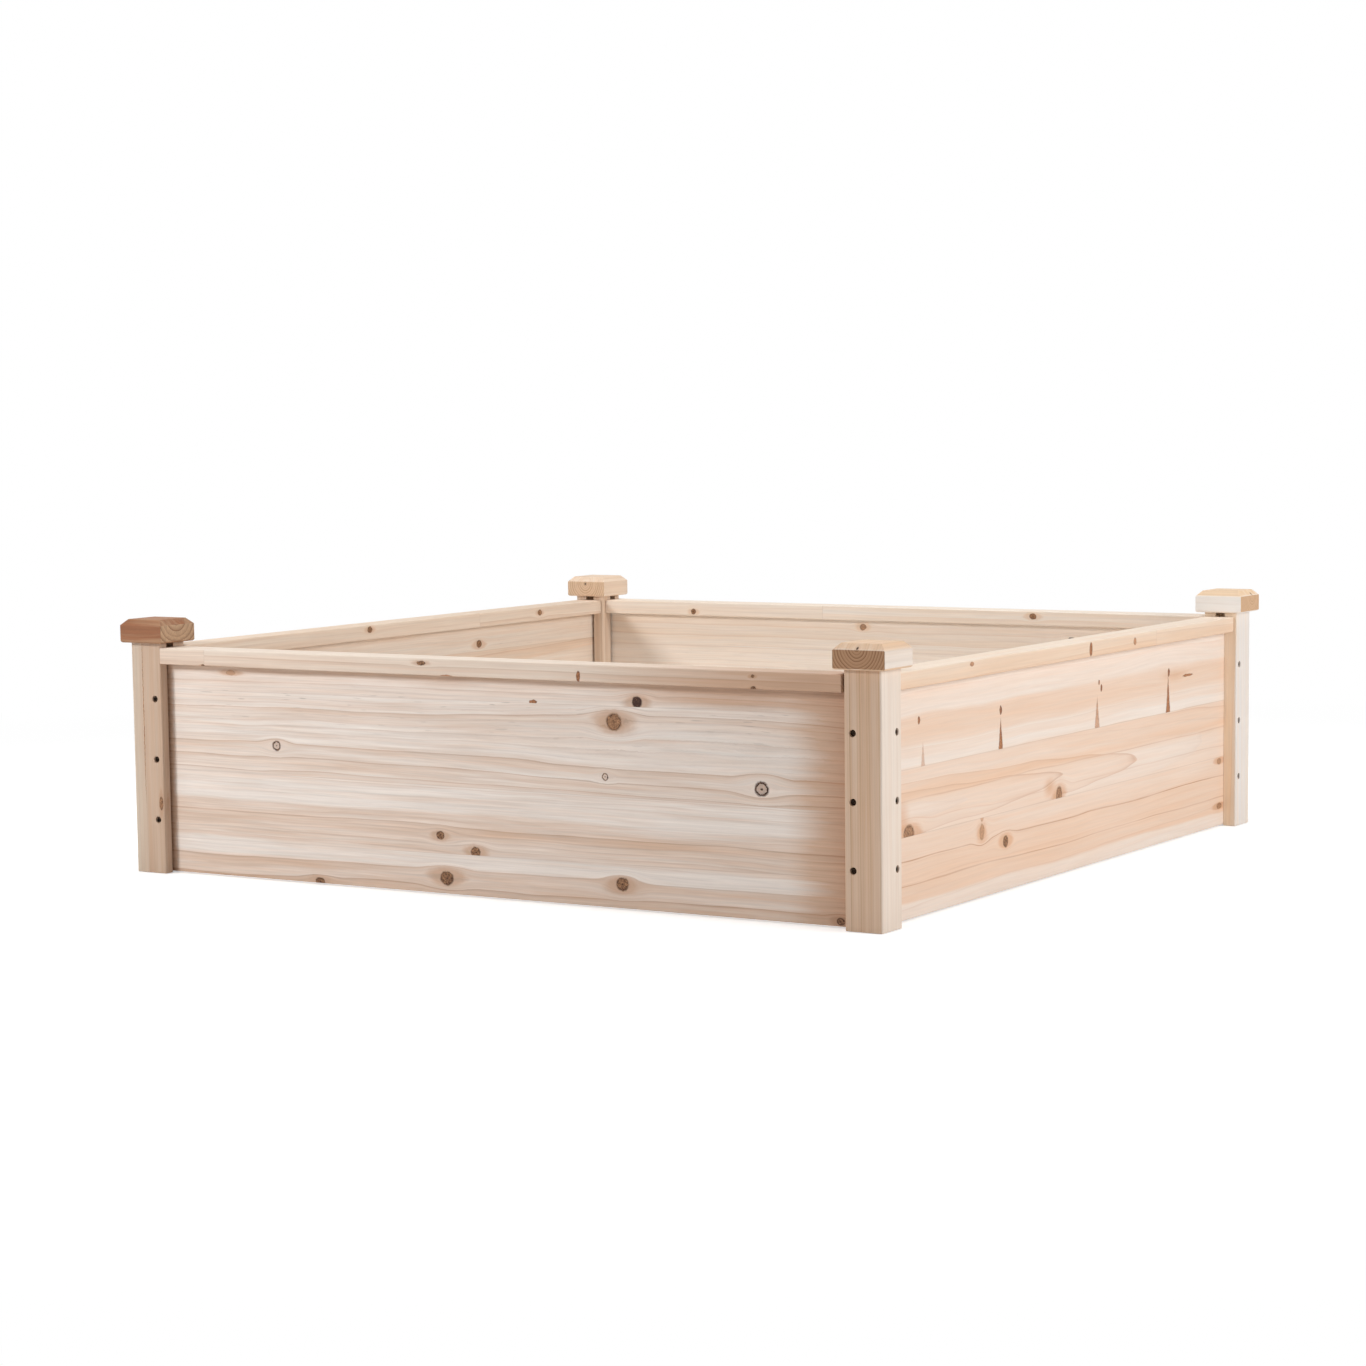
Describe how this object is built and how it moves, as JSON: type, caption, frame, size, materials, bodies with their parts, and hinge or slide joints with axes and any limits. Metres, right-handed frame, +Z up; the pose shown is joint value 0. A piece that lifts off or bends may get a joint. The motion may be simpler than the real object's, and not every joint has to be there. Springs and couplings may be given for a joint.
{
  "type": "raised garden bed",
  "caption": "Square, bottomless garden bed of planed fir: panels slide into grooved corner posts, with top rails and chamfered post caps.",
  "frame": {"origin": "on the ground at the middle of the bed, which is the middle of the bottom of its bounding box", "axes": "+Z up, the front wall faces -Y, the right wall faces +X"},
  "size_m": [1.0176, 1.0176, 0.3],
  "materials": {
    "fir_post": "planed, unfinished fir",
    "fir_cap": "planed, unfinished fir, end grain on two sides",
    "fir_panel": "planed, unfinished, knotty fir, edge glued",
    "fir_rail": "planed, unfinished fir, finger jointed",
    "beech_dowel": "turned beech",
    "screw_steel": "dark bronze-passivated steel"
  },
  "bodies": {
    "root": {"post_front_left": "fir_post", "cap_front_left": "fir_cap", "cap_dowel_front_left": "beech_dowel", "post_front_right": "fir_post", "cap_front_right": "fir_cap", "cap_dowel_front_right": "beech_dowel", "post_back_right": "fir_post", "cap_back_right": "fir_cap", "cap_dowel_back_right": "beech_dowel", "post_back_left": "fir_post", "cap_back_left": "fir_cap", "cap_dowel_back_left": "beech_dowel", "panel_front": "fir_panel", "rail_front": "fir_rail", "screw_front_start_low": "screw_steel", "screw_front_start_mid": "screw_steel", "screw_front_start_high": "screw_steel", "screw_front_end_low": "screw_steel", "screw_front_end_mid": "screw_steel", "screw_front_end_high": "screw_steel", "panel_right": "fir_panel", "rail_right": "fir_rail", "screw_right_start_low": "screw_steel", "screw_right_start_mid": "screw_steel", "screw_right_start_high": "screw_steel", "screw_right_end_low": "screw_steel", "screw_right_end_mid": "screw_steel", "screw_right_end_high": "screw_steel", "panel_back": "fir_panel", "rail_back": "fir_rail", "screw_back_start_low": "screw_steel", "screw_back_start_mid": "screw_steel", "screw_back_start_high": "screw_steel", "screw_back_end_low": "screw_steel", "screw_back_end_mid": "screw_steel", "screw_back_end_high": "screw_steel", "panel_left": "fir_panel", "rail_left": "fir_rail", "screw_left_start_low": "screw_steel", "screw_left_start_mid": "screw_steel", "screw_left_start_high": "screw_steel", "screw_left_end_low": "screw_steel", "screw_left_end_mid": "screw_steel", "screw_left_end_high": "screw_steel"}
  },
  "joints": []
}
